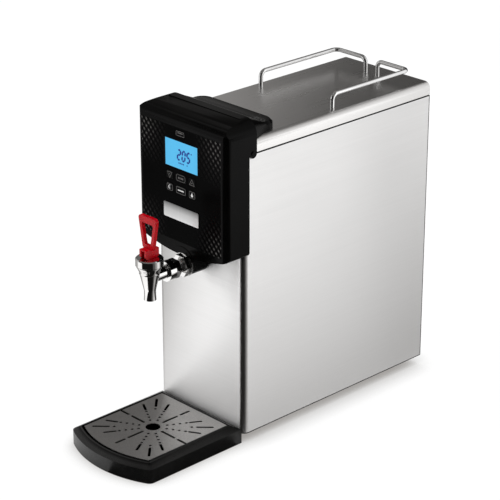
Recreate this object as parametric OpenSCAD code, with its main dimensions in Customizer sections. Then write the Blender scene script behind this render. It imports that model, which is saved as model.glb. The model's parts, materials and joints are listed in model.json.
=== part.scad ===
// Countertop hot water dispenser: steel body on rubber feet, black control head over a chrome
// faucet, drip tray with a steel grate, cup rails on the lid, and the tank and electrics inside.
// Millimetres. X runs across the body, the front faces -Y, +Z is up, and Z = 0 is the counter.

/* [Body] */
// Width of the steel body
body_w = 180; // [172:1:200]
// Depth of the steel body, front face to rear panel
body_d = 382; // [370:1:400]
// Height of the lid's top above the counter
body_h = 462; // [450:1:490]
// Height of the rubber feet
foot_h = 14; // [13:1:20]
// Radius of the two upright front corners
corner_r = 10; // [8:1:12]
// Thickness of the sheet steel
sheet = 1; // [0.8:0.1:1.2]

/* [Lid and rails] */
// Height of the lid cap above its seam
lid_h = 20; // [18:1:24]
// Radius of the lid's long edges
lid_r = 10; // [8:1:12]
// Diameter of the rail rod
rail_dia = 6.4; // [5.6:0.2:7.2]
// Height of the rod's axis above the lid
rail_rise = 21.5; // [19:0.5:26]
// Distance from the body's side to the long run of a rail
rail_side = 17; // [15:1:24]
// Distance from the middle plane to the inner leg of a rail
rail_gap = 12; // [10:1:18]
// Bend radius of the rod's axis
rail_bend = 9; // [8:1:11]
// Distance from the body's front to the front legs
rail_front = 191; // [180:1:210]
// Distance from the rear panel to the rails' back run
rail_inset = 31; // [24:1:36]

/* [Control head] */
// Distance from the body's front to the head's face
head_out = 34; // [32:1:38]
// Height of the head's top above the lid
head_rise = 28; // [26:1:32]
// Height of the head at its middle
head_h = 211; // [208:1:216]
// How much lower the head's bottom edge is at its middle than at its ends
head_sag = 14; // [10:1:16]
// Radius of the brow between face and top
brow_r = 15; // [13:1:18]
// Angle at which the head's top slopes down to the brow
head_pitch = 7; // [5:0.5:9]
// Radius of the face's upright edges
head_edge_r = 11; // [9:1:12]
// Radius of the head's two top corners seen from the front
head_top_r = 22; // [18:1:24]
// Radius of the head's two lower corners seen from the front
head_low_r = 7; // [5:1:9]
// Wall thickness of the head shell and the saddle's strap
head_wall = 2; // [1.8:0.1:2.4]
// How far the head's sides reach back past the body's front
head_wrap = 10; // [8:1:12]
// Length of the saddle's tongue on the lid
saddle_d = 70; // [64:1:76]
// Height of the saddle's tongue above the lid
saddle_h = 13; // [11:1:15]

/* [Controls] */
// Width of the display window
lcd_w = 70; // [66:1:72]
// Height of the display window
lcd_h = 41; // [38:1:42]
// Height of a key cap
key_h = 11; // [10:0.5:12]
// Width of the middle key caps
key_wide = 20; // [18:1:22]
// Width of the outer key caps
key_narrow = 13; // [12:0.5:14]
// Travel of a key
key_travel = 0.5; // [0.4:0.1:0.6]
// Width of the bare badge plate
badge_w = 72; // [66:1:76]
// Height of the bare badge plate
badge_h = 22; // [18:1:24]

/* [Faucet] */
// Reach from the body's front to the spout's axis
spout_reach = 95; // [93:1:100]
// Distance from the head's lowest edge down to the faucet's inlet axis
faucet_drop = 15; // [14:1:17]
// Outer radius of the spout
spout_r = 8.7; // [8.4:0.1:9.2]
// Radius of the bonnet's top
bonnet_r = 20; // [19:0.5:21]
// Radius of the threaded shank
shank_r = 9; // [8.6:0.1:9.4]
// Radius of the pin that carries the handle
pin_r = 2; // [1.8:0.1:2.2]
// Width of the handle at its top bar
handle_w = 36; // [34:1:40]
// Height of the handle from its cam face to its top
handle_h = 60.7; // [58:0.1:66]
// Depth of the handle's cam block
cam_d = 24; // [22:1:25]

/* [Drip tray] */
// Width of the drip tray
tray_w = 172; // [168:1:176]
// Depth of the drip tray at its middle
tray_d = 197; // [190:1:205]
// Height of the tray's outer wall
tray_wall_h = 21.5; // [20:0.5:24]
// Height of the tray's rim around the grate
tray_h = 28; // [26:0.5:30]
// How far the front edge bows out at its middle
tray_bow = 22.5; // [18:0.5:26]
// Radius of the tray's front corners
tray_corner_r = 10; // [8:1:14]
// Thickness of the grate
grate_t = 1.5; // [1.2:0.1:2]
// Radius of the grate's drain hole
drain_r = 10.9; // [9:0.1:12]

/* [Tank and inside] */
// Thickness of the tank's insulation
jacket_t = 8; // [7:0.5:8.5]
// Gap between the insulation and the casing's sides
jacket_gap = 2; // [1.5:0.1:3]
// Space behind the tank for its fittings and the vent
rear_space = 40; // [38:1:48]
// Height of the tank's floor below the faucet's inlet axis
tank_drop = 24; // [22:1:28]

/* [Hidden] */
$fn = 48;

// Fits
slip = 0.2;
run_fit = 0.05;
key_gap = 0.3;
cut = 1;

// Lines of the body
stub_out = 18;
front_y = -(body_d + stub_out - tray_d) / 2;
back_y = front_y + body_d;
half_w = body_w / 2;
seam_z = body_h - lid_h;
seam_gap = 1;
skirt_h = 8;
flange_w = 10;
panel_in = 2 * sheet;

// Lines of the head
head_half = half_w + head_wall;
face_y = front_y - head_out;
head_back_y = front_y + head_wrap;
head_top_z = body_h + head_rise;
head_low_z = head_top_z - head_h;
head_arc_half = head_half - head_edge_r - 5;
head_arc_r = head_arc_half * (head_half - head_arc_half / 2) / head_sag;
head_arc_a = asin(head_arc_half / head_arc_r);
ear_w = 14;
ear_drop = 6;
ear_z = seam_z - ear_drop + ear_w / 2;
overlay_t = 0.5;
overlay_half = head_half - head_edge_r;
overlay_low_z = head_low_z + 19;
slope_past = 6;
slope_run = head_back_y + slope_past - face_y - brow_r * (1 - sin(head_pitch));
brow_y = face_y + brow_r;
brow_z = head_top_z - slope_run * tan(head_pitch) - brow_r * cos(head_pitch);
overlay_top_z = brow_z - 2;

// Lines of the controls
lcd_drop = 61.5;
lcd_z = head_top_z - lcd_drop;
row_power_z = lcd_z + lcd_h / 2 + 11.5;
row_one_z = lcd_z - lcd_h / 2 - 13;
row_two_z = row_one_z - 18.5;
badge_z = row_two_z - 35;
key_x = 23;
key_proud = 0.6;
key_back_y = face_y + 5.4;
key_flange = 1;
board_y = face_y + 12;
board_t = 1.6;
board_half = lcd_w / 2 + 7;
board_low_z = row_two_z - 16;
board_top_z = row_power_z + 10;
boss_in = 4;
boss_dz = 6;
boss_x = board_half - boss_in;
boss_zs = [board_low_z + boss_dz, board_top_z - boss_dz];
boss_r = 3.5;
boss_hole_r = 1.5;
switch_s = 6;
switch_pin_r = 1.5;
switch_pin_h = 1;
plunger_r = 2;
badge_t = 1;
badge_r = 2;

// Lines of the faucet, whose heights are counted from the inlet axis
faucet_z = head_low_z - faucet_drop;
spout_y = front_y - spout_reach;
sleeve_r = 17;
sleeve_len = 28.5;
washer_r = 18;
washer_t = 2.5;
shank_nut_flats = 30;
shank_nut_t = 8;
coupling_flats = 26;
coupling_t = 10;
shank_bore_r = 6;
shank_out = 56.5;
shank_front_y = front_y - shank_out;
collar_r = 15;
collar_t = 11;
neck_r = 10;
tip_dz = -34;
cone_low_dz = -19.5;
cone_top_dz = 6;
cone_r = 14.6;
band_dz = 9;
cup_rim_dz = 17.8;
cup_rim_r = bonnet_r - 1.2;
seat_dz = -13;
seat_bore_r = 4.5;
spout_bore_r = 6.5;
chamber_r = 8;
bonnet_low_dz = 18;
bonnet_top_dz = 30;
bonnet_plug = 4;
pin_dz = bonnet_top_dz + 7;
stem_r = 3;
cup_r = 6.5;
cup_h = 7;
cup_socket = 4;
spring_r = 5.4;
spring_wire_r = 0.6;
spring_turns = 5;
spring_low_dz = seat_dz + cup_h + 0.2;
spring_top_dz = bonnet_low_dz - bonnet_plug - 0.2;
cam_gap = 0.3;
cam_w = 14;
cam_h = 13.7;
cam_r = 4;
handle_t = 5.6;

// Lines of the tray
tray_back_y = front_y - 0.5;
tray_front_y = front_y - tray_d;
tray_half = tray_w / 2;
tray_arc_r = (pow(tray_half, 2) + pow(tray_bow, 2)) / (2 * tray_bow);
tray_arc_y = tray_front_y + tray_arc_r;
tray_skin = 2.5;
rim_run = 11.5;
grate_inset = 13;
grate_gap = 1;
grate_front_gap = 3;
ledge_inset = 17;
hook_x = 40;
hook_w = 26;
hook_t = 1.5;
hook_in = 8;
hook_z = foot_h - hook_t;

// Lines of the tank
tank_z = faucet_z - tank_drop;
tank_top_z = seam_z - 2;
tank_y = front_y + 2 * sheet + jacket_t;
tank_back_y = back_y - rear_space;
tank_half = half_w - sheet - jacket_gap - jacket_t;
tank_wall = 1;
shelf_z = tank_z - jacket_t;
shelf_t = 1.5;
shelf_drop = 20;
gasket_t = 2;
gasket_w = 6;
cover_t = 1.5;
cover_top_z = tank_top_z + gasket_t + cover_t;
seal_r = 15;
seal_t = 2;
tank_nut_flats = 27;
tank_nut_t = 6;
shank_tail = 12;
element_x = 25;
element_z = tank_z + 32;
element_r = 4;
element_len = 240;
element_flange_r = element_x + 10;
element_flange_t = 3;
terminal_r = 1.5;
terminal_len = 5;
probe_x = half_w - 40;
probe_z = tank_z + 55;
probe_r = 3;
probe_len = 60;
probe_head_r = 6;
fitting_proud = 4;
cutout_x = -half_w + 45;
cutout_rise = 90;
cutout_z = tank_z + cutout_rise;
cutout_r = 10;
level_x = -30;
level_y = tank_y + 40;
level_r = 2.5;
level_len = 30;
level_head_r = 6;
level_head_h = 5;

// Lines of the pipes, the inlet and the cord's entry
fill_x = half_w - 50;
fill_y = tank_back_y - rear_space;
tube_r = 4;
tube_bore_r = 3;
tube_in = 6;
inlet_z = foot_h + 46;
inlet_r = 6.5;
inlet_nut_r = 11;
inlet_nut_t = 5;
valve_w = 24;
valve_d = 36;
valve_h = 30;
valve_foot_d = 24;
valve_low_z = inlet_z - valve_h / 2;
valve_top_z = inlet_z + valve_h / 2;
coil_r = 13;
coil_len = 25;
vent_x = -half_w + 40;
vent_y = tank_back_y - 22;
vent_drop_y = back_y - 16;
vent_bend = 8;
vent_collar_r = tube_r + 3;
gland_x = -half_w + 40;
gland_r = 8;
gland_flange_r = 11;
gland_flange_t = 5;
gland_nut_r = 12;
gland_in = 12;
gland_out = 14;
gland_bore_r = 4;

// Lines of the pan, the feet and the board on the pan
pan_t = 1.2;
pan_rim = 16;
pan_floor_z = foot_h + pan_t;
power_post_h = 20;
power_plate_z = pan_floor_z + power_post_h;
power_top_z = power_plate_z + board_t;
power_w = 82;
power_d = 140;
power_x = -half_w + 16;
power_in = 70;
power_y = front_y + power_in;
power_post_r = 3;
power_post_in = 7;
relay_size = [30, 30, 25];
relay_at = [12, 90, 0];
core_size = [44, 38, 34];
core_at = [18, 20, 0];
winding_size = [32, 54, 26];
winding_at = [24, 12, 4];
foot_x = half_w - 46;
foot_in = 60;
foot_r = 11;
foot_taper = 2;
foot_stud_r = 2;
foot_stud_h = 7;

// Lines of the rails and the screws
rail_back_y = back_y - rail_inset;
rail_front_y = front_y + rail_front;
rail_x = half_w - rail_side;
stud_r = 2.4;
screw_r = 1.5;
screw_hole_r = 1.7;
screw_x = half_w - 6;
screw_heights = [foot_h + 26, (foot_h + seam_z) / 2, seam_z - 24];
rail_legs = [[rail_x, rail_front_y], [rail_gap, rail_back_y]];

// A box between two opposite corners
module box(low, high) {
    translate(low) cube(high - low);
}

// Cylinders along each axis, between two places on it
module x_rod(r, x0, x1, y, z) {
    translate([x0, y, z]) rotate([0, 90, 0]) cylinder(r = r, h = x1 - x0);
}
module y_rod(r, y0, y1, x, z) {
    translate([x, y1, z]) rotate([90, 0, 0]) cylinder(r = r, h = y1 - y0);
}
module z_rod(r, z0, z1, x, y) {
    translate([x, y, z0]) cylinder(r = r, h = z1 - z0);
}

// A ring along Y
module y_ring(r_out, r_in, y0, y1, x, z) {
    difference() {
        y_rod(r_out, y0, y1, x, z);
        y_rod(r_in, y0 - cut, y1 + cut, x, z);
    }
}

// A hexagon along Y, given across its flats, with a round hole
module y_hex_nut(flats, r_in, y0, y1, x, z) {
    difference() {
        translate([x, y1, z])
            rotate([90, 0, 0])
                cylinder(r = flats / sqrt(3), h = y1 - y0, $fn = 6);
        y_rod(r_in, y0 - cut, y1 + cut, x, z);
    }
}

// Extrusions of an outline drawn in X and Z, or in Y and Z
module along_y(y0, y1) {
    translate([0, y1, 0]) rotate([90, 0, 0]) linear_extrude(y1 - y0) children();
}
module along_x(x0, x1) {
    translate([x0, 0, 0]) rotate([90, 0, 90]) linear_extrude(x1 - x0) children();
}

// Outline of the body seen from above: a rectangle whose front corners are round
module round_front(w, y0, y1, r) {
    translate([-w / 2, y0 + r]) square([w, y1 - y0 - r]);
    translate([-w / 2 + r, y0]) square([w - 2 * r, y1 - y0]);
    for (side = [-1, 1]) translate([side * (w / 2 - r), y0 + r]) circle(r);
}

// Outline seen from the front: a rectangle whose top corners are round
module round_top(w, z0, z1, r) {
    translate([-w / 2, z0]) square([w, z1 - r - z0]);
    translate([-w / 2 + r, z0]) square([w - 2 * r, z1 - z0]);
    for (side = [-1, 1]) translate([side * (w / 2 - r), z1 - r]) circle(r);
}

// A rectangle with four round corners, about its centre
module round_rect(w, h, r) {
    square([w - 2 * r, h], center = true);
    square([w, h - 2 * r], center = true);
    for (x = [-1, 1], z = [-1, 1]) translate([x * (w / 2 - r), z * (h / 2 - r)]) circle(r);
}

// A slot along X between the centres of its two round ends
module slot(x0, x1, w) {
    translate([x0, -w / 2]) square([x1 - x0, w]);
    for (x = [x0, x1]) translate([x, 0]) circle(w / 2);
}

// A bar with round ends between two points, and a four-sided outline with such bars as its edges
module bar(p, q, r) {
    reach = norm(q - p);
    translate(p)
        rotate(atan2(q[1] - p[1], q[0] - p[0])) slot(0, reach, 2 * r);
}
module round_quad(points, r) {
    polygon(points);
    for (i = [0 : 3]) bar(points[i], points[(i + 1) % 4], r);
}

// A quarter of a bent rod, from +X round to +Y
module elbow(bend, r) {
    rotate_extrude(angle = 90) translate([bend, 0]) circle(r);
}

// Casing
module body_wrap() {
    color([0.86, 0.86, 0.85])
    difference() {
        union() {
            difference() {
                translate([0, 0, foot_h])
                    linear_extrude(seam_z - foot_h) round_front(body_w, front_y, back_y, corner_r);
                translate([0, 0, foot_h - cut])
                    linear_extrude(seam_z - foot_h + 2 * cut)
                        round_front(body_w - 2 * sheet, front_y + sheet, back_y + cut, corner_r - sheet);
            }
            for (side = [0, 1]) mirror([side, 0, 0])
                box([half_w - sheet - flange_w, back_y - panel_in, foot_h],
                    [half_w - sheet / 2, back_y - sheet, seam_z - skirt_h]);
        }
        y_rod(shank_r + slip, front_y - cut, front_y + 2 * sheet, 0, faucet_z);
        for (x = [-1, 1], z = screw_heights)
            y_rod(screw_hole_r, back_y - 3 * sheet, back_y + cut, x * screw_x, z);
        x_rod(screw_hole_r, -half_w - cut, half_w + cut, head_back_y + ear_w / 2, ear_z);
    }
}

module base_pan() {
    color([0.78, 0.78, 0.77])
    difference() {
        translate([0, 0, foot_h])
            linear_extrude(pan_rim)
                round_front(body_w - 2 * sheet, front_y + sheet, back_y - panel_in, corner_r - sheet);
        translate([0, 0, pan_floor_z])
            linear_extrude(pan_rim)
                round_front(body_w - 2 * sheet - 2 * pan_t, front_y + sheet + pan_t,
                    back_y - panel_in - pan_t, corner_r - sheet - pan_t);
        for (x = [-1, 1], y = [front_y + foot_in, back_y - foot_in])
            z_rod(foot_stud_r + slip, foot_h - cut, pan_floor_z + cut, x * foot_x, y);
        z_rod(tube_r + 1, foot_h - cut, pan_floor_z + cut, vent_x, vent_drop_y);
    }
}

module rear_panel() {
    slot_w = 60;
    slot_h = 4;
    color([0.82, 0.82, 0.81])
    difference() {
        box([-half_w + sheet, back_y - sheet, foot_h], [half_w - sheet, back_y, seam_z]);
        for (x = [-1, 1], z = screw_heights)
            y_rod(screw_hole_r, back_y - 2 * sheet, back_y + cut, x * screw_x, z);
        y_rod(inlet_r + slip, back_y - 2 * sheet, back_y + cut, fill_x, inlet_z);
        y_rod(gland_r + slip, back_y - 2 * sheet, back_y + cut, gland_x, inlet_z);
        for (i = [0 : 7])
            translate([0, back_y + cut, inlet_z + 40 + 10 * i])
                rotate([90, 0, 0]) linear_extrude(3 * cut) slot(-slot_w / 2, slot_w / 2, slot_h);
    }
}

module lid_block(inset) {
    intersection() {
        along_y(front_y + inset, back_y - inset)
            round_top(body_w - 2 * inset, seam_z - cut, body_h - inset, lid_r - inset);
        translate([0, 0, seam_z - cut])
            linear_extrude(lid_h + 2 * cut)
                round_front(body_w - 2 * inset, front_y + inset, back_y - inset, corner_r - inset);
    }
}

module lid_skirt(outer, z0, z1) {
    translate([0, 0, z0])
        linear_extrude(z1 - z0)
            difference() {
                round_front(outer, half_w - outer / 2 + front_y, back_y - panel_in,
                    corner_r - half_w + outer / 2);
                round_front(body_w - 4 * sheet, front_y + 2 * sheet, back_y - panel_in - sheet,
                    corner_r - 2 * sheet);
            }
}

module lid() {
    color([0.80, 0.80, 0.79])
    difference() {
        union() {
            difference() {
                lid_block(0);
                lid_block(sheet);
                box([-body_w, front_y - cut, seam_z - 2 * cut], [body_w, back_y + cut, seam_z + seam_gap]);
            }
            lid_skirt(body_w - 2 * sheet, seam_z - skirt_h, seam_z + seam_gap);
            lid_skirt(body_w - sheet, seam_z + seam_gap, seam_z + seam_gap + 3);
        }
        for (x = [-1, 1], leg = rail_legs)
            z_rod(stud_r + slip, body_h - 3 * sheet, body_h + cut, x * leg[0], leg[1]);
        x_rod(screw_hole_r, -body_w, body_w, head_back_y + ear_w / 2, ear_z);
    }
}

// One bent rod: front leg, run to the back, turn to the middle, inner leg, and two studs below
module rail() {
    r = rail_dia / 2;
    axis_z = body_h + rail_rise;
    bend_z = axis_z - rail_bend;
    for (leg = rail_legs) {
        z_rod(r, body_h, bend_z, leg[0], leg[1]);
        z_rod(stud_r, body_h - 10, body_h + cut, leg[0], leg[1]);
    }
    translate([rail_x, rail_front_y + rail_bend, bend_z])
        rotate([90, 0, 90]) rotate([0, 0, 90]) elbow(rail_bend, r);
    y_rod(r, rail_front_y + rail_bend, rail_back_y - rail_bend, rail_x, axis_z);
    translate([rail_x - rail_bend, rail_back_y - rail_bend, axis_z]) elbow(rail_bend, r);
    x_rod(r, rail_gap + rail_bend, rail_x - rail_bend, rail_back_y, axis_z);
    translate([rail_gap + rail_bend, rail_back_y, bend_z])
        rotate([90, 0, 0]) rotate([0, 0, 90]) elbow(rail_bend, r);
}

module rail_right() {
    color([0.85, 0.85, 0.86]) rail();
}

module rail_left() {
    color([0.85, 0.85, 0.86]) mirror([1, 0, 0]) rail();
}

module rail_nuts() {
    nut_h = 4;
    color([0.7, 0.7, 0.7])
    for (x = [-1, 1], leg = rail_legs)
        translate([x * leg[0], leg[1], body_h - sheet - nut_h])
            difference() {
                cylinder(r = 5, h = nut_h, $fn = 6);
                translate([0, 0, -cut]) cylinder(r = stud_r + run_fit, h = nut_h + 2 * cut);
            }
}

module rubber_feet() {
    color([0.1, 0.1, 0.1])
    for (x = [-1, 1], y = [front_y + foot_in, back_y - foot_in])
        translate([x * foot_x, y, 0])
            rotate_extrude()
                polygon([[0, 0], [foot_r - foot_taper, 0], [foot_r, foot_h], [foot_stud_r, foot_h],
                    [foot_stud_r, foot_h + foot_stud_h], [0, foot_h + foot_stud_h]]);
}

// A pan-head screw along -Y, its head on the plane y
module y_screw(x, y, z, length) {
    y_rod(3.2, y, y + 1.6, x, z);
    y_rod(screw_r, y - length, y + cut, x, z);
}

module case_screws() {
    color([0.75, 0.75, 0.75])
    for (x = [-1, 1], z = screw_heights) y_screw(x * screw_x, back_y, z, 6);
}

module tray_bracket() {
    color([0.7, 0.7, 0.7])
    union() {
        box([-hook_x - hook_w / 2, front_y + 14, hook_z], [hook_x + hook_w / 2, front_y + 44, foot_h]);
        for (x = [-1, 1])
            box([x * hook_x - hook_w / 2, front_y - hook_in, hook_z],
                [x * hook_x + hook_w / 2, front_y + 15, foot_h]);
    }
}

// Control head
// The bottom edge is an arc in the middle, rises on straight and turns up round at the sides
module head_front(inset) {
    r = head_arc_r - inset;
    centre_z = head_low_z + head_arc_r;
    bend = [r * sin(head_arc_a), centre_z - r * cos(head_arc_a)];
    side_x = head_half + cut;
    top_z = head_top_z + cut;
    turn_r = head_low_r - inset;
    turn_x = head_half - head_low_r;
    turn_z = bend[1] + (turn_x - bend[0]) * tan(head_arc_a) + turn_r / cos(head_arc_a);
    turn_steps = 6;
    turn_end = -12;
    turn = [for (i = [0 : turn_steps])
        let (a = turn_end + (turn_end + 90 - head_arc_a) * (i / turn_steps - 1))
        [turn_x + turn_r * cos(a), turn_z + turn_r * sin(a)]];
    side_z = turn[turn_steps][1] + (side_x - turn[turn_steps][0]) / tan(-turn_end / 2);
    intersection() {
        round_top(2 * (head_half - inset), head_low_z - cut, head_top_z - inset, head_top_r - inset);
        union() {
            intersection() {
                translate([0, centre_z]) circle(r, $fn = 180);
                translate([-bend[0], head_low_z - cut]) square([2 * bend[0], top_z - head_low_z + cut]);
            }
            for (side = [0, 1]) mirror([side, 0])
                polygon(concat([bend], turn, [[side_x, side_z], [side_x, top_z], [bend[0], top_z]]));
        }
    }
}

// The head seen from the side: its top slopes down to the round brow
module head_profile(inset) {
    r = brow_r - inset;
    y0 = face_y + inset;
    y1 = head_back_y + cut;
    z0 = head_low_z - cut;
    crest = [brow_y - r * sin(head_pitch), brow_z + r * cos(head_pitch)];
    z1 = crest[1] + (y1 - crest[0]) * tan(head_pitch);
    polygon([[y0, z0], [y0, brow_z], crest, [y1, z1], [y1, z0]]);
    translate([brow_y, brow_z]) circle(r);
}

module head_block(inset, y1) {
    intersection() {
        along_y(face_y - cut, y1) head_front(inset);
        along_x(-head_half - cut, head_half + cut) head_profile(inset);
        translate([0, 0, head_low_z - 2 * cut])
            linear_extrude(head_h + 4 * cut)
                round_front(2 * (head_half - inset), face_y + inset, y1 + cut, head_edge_r - inset);
    }
}

// The openings in the face for the display and the seven keys
module face_openings(gap, y0, y1) {
    along_y(y0, y1) {
        translate([0, lcd_z]) square([lcd_w + 2 * gap, lcd_h + 2 * gap], center = true);
        for (k = keys) translate([k[0], k[1]]) round_rect(k[2] + 2 * gap, k[3] + 2 * gap, 2);
    }
}

// Each key's X, Z, width and height
key_of_power = [0, row_power_z, key_wide - 2, key_h - 3];
key_of_down = [-key_x, row_one_z, key_narrow, key_h];
key_of_program = [0, row_one_z, key_wide, key_h];
key_of_up = [key_x, row_one_z, key_narrow, key_h];
key_of_left = [-key_x, row_two_z, key_narrow, key_h];
key_of_start = [0, row_two_z, key_wide, key_h];
key_of_right = [key_x, row_two_z, key_narrow, key_h];
keys = [key_of_power, key_of_down, key_of_program, key_of_up, key_of_left, key_of_start, key_of_right];

module head_shell() {
    arch_r = 28;
    arch_w = 3;
    arch_proud = 0.8;
    color([0.09, 0.09, 0.09])
    difference() {
        union() {
            difference() {
                head_block(0, head_back_y);
                head_block(head_wall, head_back_y + cut);
                box([-half_w, front_y, head_low_z - cut],
                    [half_w, head_back_y + cut, head_low_z + 2 * head_sag]);
            }
            for (x = [-1, 1], z = boss_zs)
                y_rod(boss_r, face_y + head_wall - slip, board_y, x * boss_x, z);
            along_y(face_y - arch_proud, face_y + cut)
                intersection() {
                    difference() {
                        translate([0, faucet_z]) circle(arch_r);
                        translate([0, faucet_z]) circle(arch_r - arch_w);
                    }
                    head_front(cut);
                }
        }
        box([-overlay_half, face_y - cut, overlay_low_z], [overlay_half, face_y + overlay_t, overlay_top_z]);
        face_openings(key_gap, face_y - cut, face_y + head_wall + cut);
        y_rod(washer_r + key_gap, face_y - 2 * cut, front_y + cut, 0, faucet_z);
    }
}

module head_saddle() {
    strap_y = head_back_y + ear_w;
    strap_step = 2;
    tongue_y = head_back_y + saddle_d;
    ramp_y = head_back_y + 46;
    tongue_half = half_w - 13;
    tongue_r = 20;
    tongue_top_z = body_h + saddle_h;
    soft = 4;
    color([0.10, 0.10, 0.10])
    difference() {
        union() {
            difference() {
                along_y(head_back_y, strap_y)
                    round_top(2 * head_half, ear_z, head_top_z, head_top_r);
                box([-half_w, head_back_y - cut, ear_z - cut], [half_w, strap_y + cut, body_h]);
                along_y(head_back_y - cut, strap_y - head_wall)
                    round_top(2 * (half_w - 1), body_h - cut, head_top_z - head_wall, head_top_r - head_wall);
            }
            for (x = [-head_half, half_w]) x_rod(ear_w / 2, x, x + head_wall, head_back_y + ear_w / 2, ear_z);
            difference() {
                hull() {
                    along_y(strap_y - cut, strap_y)
                        round_top(2 * (head_half - strap_step), body_h, head_top_z - strap_step / 2,
                            head_top_r - strap_step, $fn = 32);
                    along_y(ramp_y - cut, ramp_y)
                        round_top(2 * tongue_half, body_h, tongue_top_z, soft, $fn = 32);
                }
                box([-tongue_half + 8, strap_y - 2, body_h - cut], [tongue_half - 8, ramp_y + cut, body_h + 8]);
                box([-body_w, strap_y - 2, body_h - head_top_r], [body_w, ramp_y + 2, body_h]);
            }
            difference() {
                hull() {
                    for (x = [-1, 1]) {
                        translate([x * (tongue_half - tongue_r), tongue_y - tongue_r, body_h]) {
                            cylinder(r = tongue_r, h = saddle_h - soft, $fn = 32);
                            cylinder(r = tongue_r - soft, h = saddle_h, $fn = 32);
                        }
                        translate([x * (tongue_half - soft), strap_y + 8, body_h])
                            cylinder(r = soft, h = saddle_h - soft, $fn = 32);
                        translate([x * (tongue_half - 2 * soft), strap_y + 8, body_h])
                            cylinder(r = soft, h = saddle_h, $fn = 32);
                    }
                }
                box([-tongue_half + 8, strap_y, body_h - cut],
                    [tongue_half - 8, tongue_y - 12, body_h + saddle_h - 3]);
            }
        }
        x_rod(screw_hole_r, -head_half - cut, head_half + cut, head_back_y + ear_w / 2, ear_z);
    }
}

module saddle_screws() {
    color([0.15, 0.15, 0.15])
    for (side = [0, 1]) mirror([side, 0, 0]) {
        x_rod(3.2, head_half, head_half + 1.4, head_back_y + ear_w / 2, ear_z);
        x_rod(screw_r, half_w - sheet, head_half + 1, head_back_y + ear_w / 2, ear_z);
    }
}

module control_overlay() {
    color([0.04, 0.04, 0.04])
    difference() {
        box([-overlay_half, face_y, overlay_low_z], [overlay_half, face_y + overlay_t, overlay_top_z]);
        face_openings(key_gap, face_y - cut, face_y + cut);
    }
}

module lcd_window() {
    rim = 2;
    rim_y = face_y + head_wall;
    color([0.35, 0.72, 0.92, 0.6])
    translate([0, 0, lcd_z]) {
        along_y(face_y, rim_y + 0.1) square([lcd_w, lcd_h], center = true);
        along_y(rim_y, rim_y + 1) square([lcd_w + 2 * rim, lcd_h + 2 * rim], center = true);
    }
}

module lcd_module() {
    color([0.2, 0.35, 0.4])
    translate([0, 0, lcd_z])
        along_y(face_y + head_wall + 1, board_y) square([lcd_w, lcd_h + 1], center = true);
}

// A key: the cap through the face, a flange that keeps it in, and a plunger behind
module key(k) {
    flange_y = face_y + head_wall + key_gap;
    color([0.13, 0.13, 0.13])
    translate([k[0], 0, k[1]]) {
        along_y(face_y - key_proud, flange_y + 0.1) round_rect(k[2], k[3], 2);
        along_y(flange_y, flange_y + key_flange)
            square([k[2] + 2 * key_flange, k[3] + 2 * key_flange], center = true);
        y_rod(plunger_r, flange_y + key_flange - 0.1, key_back_y, 0, 0);
    }
}

module key_power() { key(key_of_power); }
module key_down() { key(key_of_down); }
module key_program() { key(key_of_program); }
module key_up() { key(key_of_up); }
module key_left() { key(key_of_left); }
module key_start() { key(key_of_start); }
module key_right() { key(key_of_right); }

module control_board() {
    color([0.1, 0.4, 0.2])
    difference() {
        box([-board_half, board_y, board_low_z], [board_half, board_y + board_t, board_top_z]);
        for (x = [-1, 1], z = boss_zs)
            y_rod(boss_hole_r, board_y - cut, board_y + board_t + cut, x * boss_x, z);
    }
}

// One tact switch behind each key
module key_switches() {
    actuator_y = key_back_y + key_travel + 0.3;
    color([0.3, 0.3, 0.3])
    for (k = keys)
        translate([k[0], 0, k[1]]) {
            along_y(actuator_y + switch_pin_h, board_y) square(switch_s, center = true);
            y_rod(switch_pin_r, actuator_y, actuator_y + switch_pin_h + slip, 0, 0);
        }
}

module badge_plate() {
    color([0.75, 0.75, 0.76])
    translate([0, 0, badge_z]) along_y(face_y - badge_t, face_y) round_rect(badge_w, badge_h, badge_r);
}

// Faucet
module faucet_sleeve() {
    color([0.08, 0.08, 0.08])
    y_ring(sleeve_r, shank_r + slip, front_y - sleeve_len, front_y, 0, faucet_z);
}

module faucet_shank() {
    color([0.7, 0.7, 0.7])
    y_ring(shank_r, shank_bore_r, shank_front_y, tank_y + shank_tail, 0, faucet_z);
}

module shank_washer() {
    y1 = front_y - sleeve_len;
    color([0.85, 0.85, 0.85])
    y_ring(washer_r, shank_r + slip, y1 - washer_t, y1, 0, faucet_z);
}

module shank_nut() {
    y1 = front_y - sleeve_len - washer_t;
    color([0.82, 0.82, 0.82])
    y_hex_nut(shank_nut_flats, shank_r + run_fit, y1 - shank_nut_t, y1, 0, faucet_z);
}

module coupling_nut() {
    color([0.82, 0.82, 0.82])
    y_hex_nut(coupling_flats, shank_r + run_fit, shank_front_y, shank_front_y + coupling_t, 0, faucet_z);
}

module tank_seal() {
    y0 = tank_y + tank_wall;
    color([0.75, 0.3, 0.2])
    y_ring(seal_r, shank_r + slip, y0, y0 + seal_t, 0, faucet_z);
}

module tank_nut() {
    y0 = tank_y + tank_wall + seal_t;
    color([0.8, 0.8, 0.8])
    y_hex_nut(tank_nut_flats, shank_r + run_fit, y0, y0 + tank_nut_t, 0, faucet_z);
}

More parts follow.
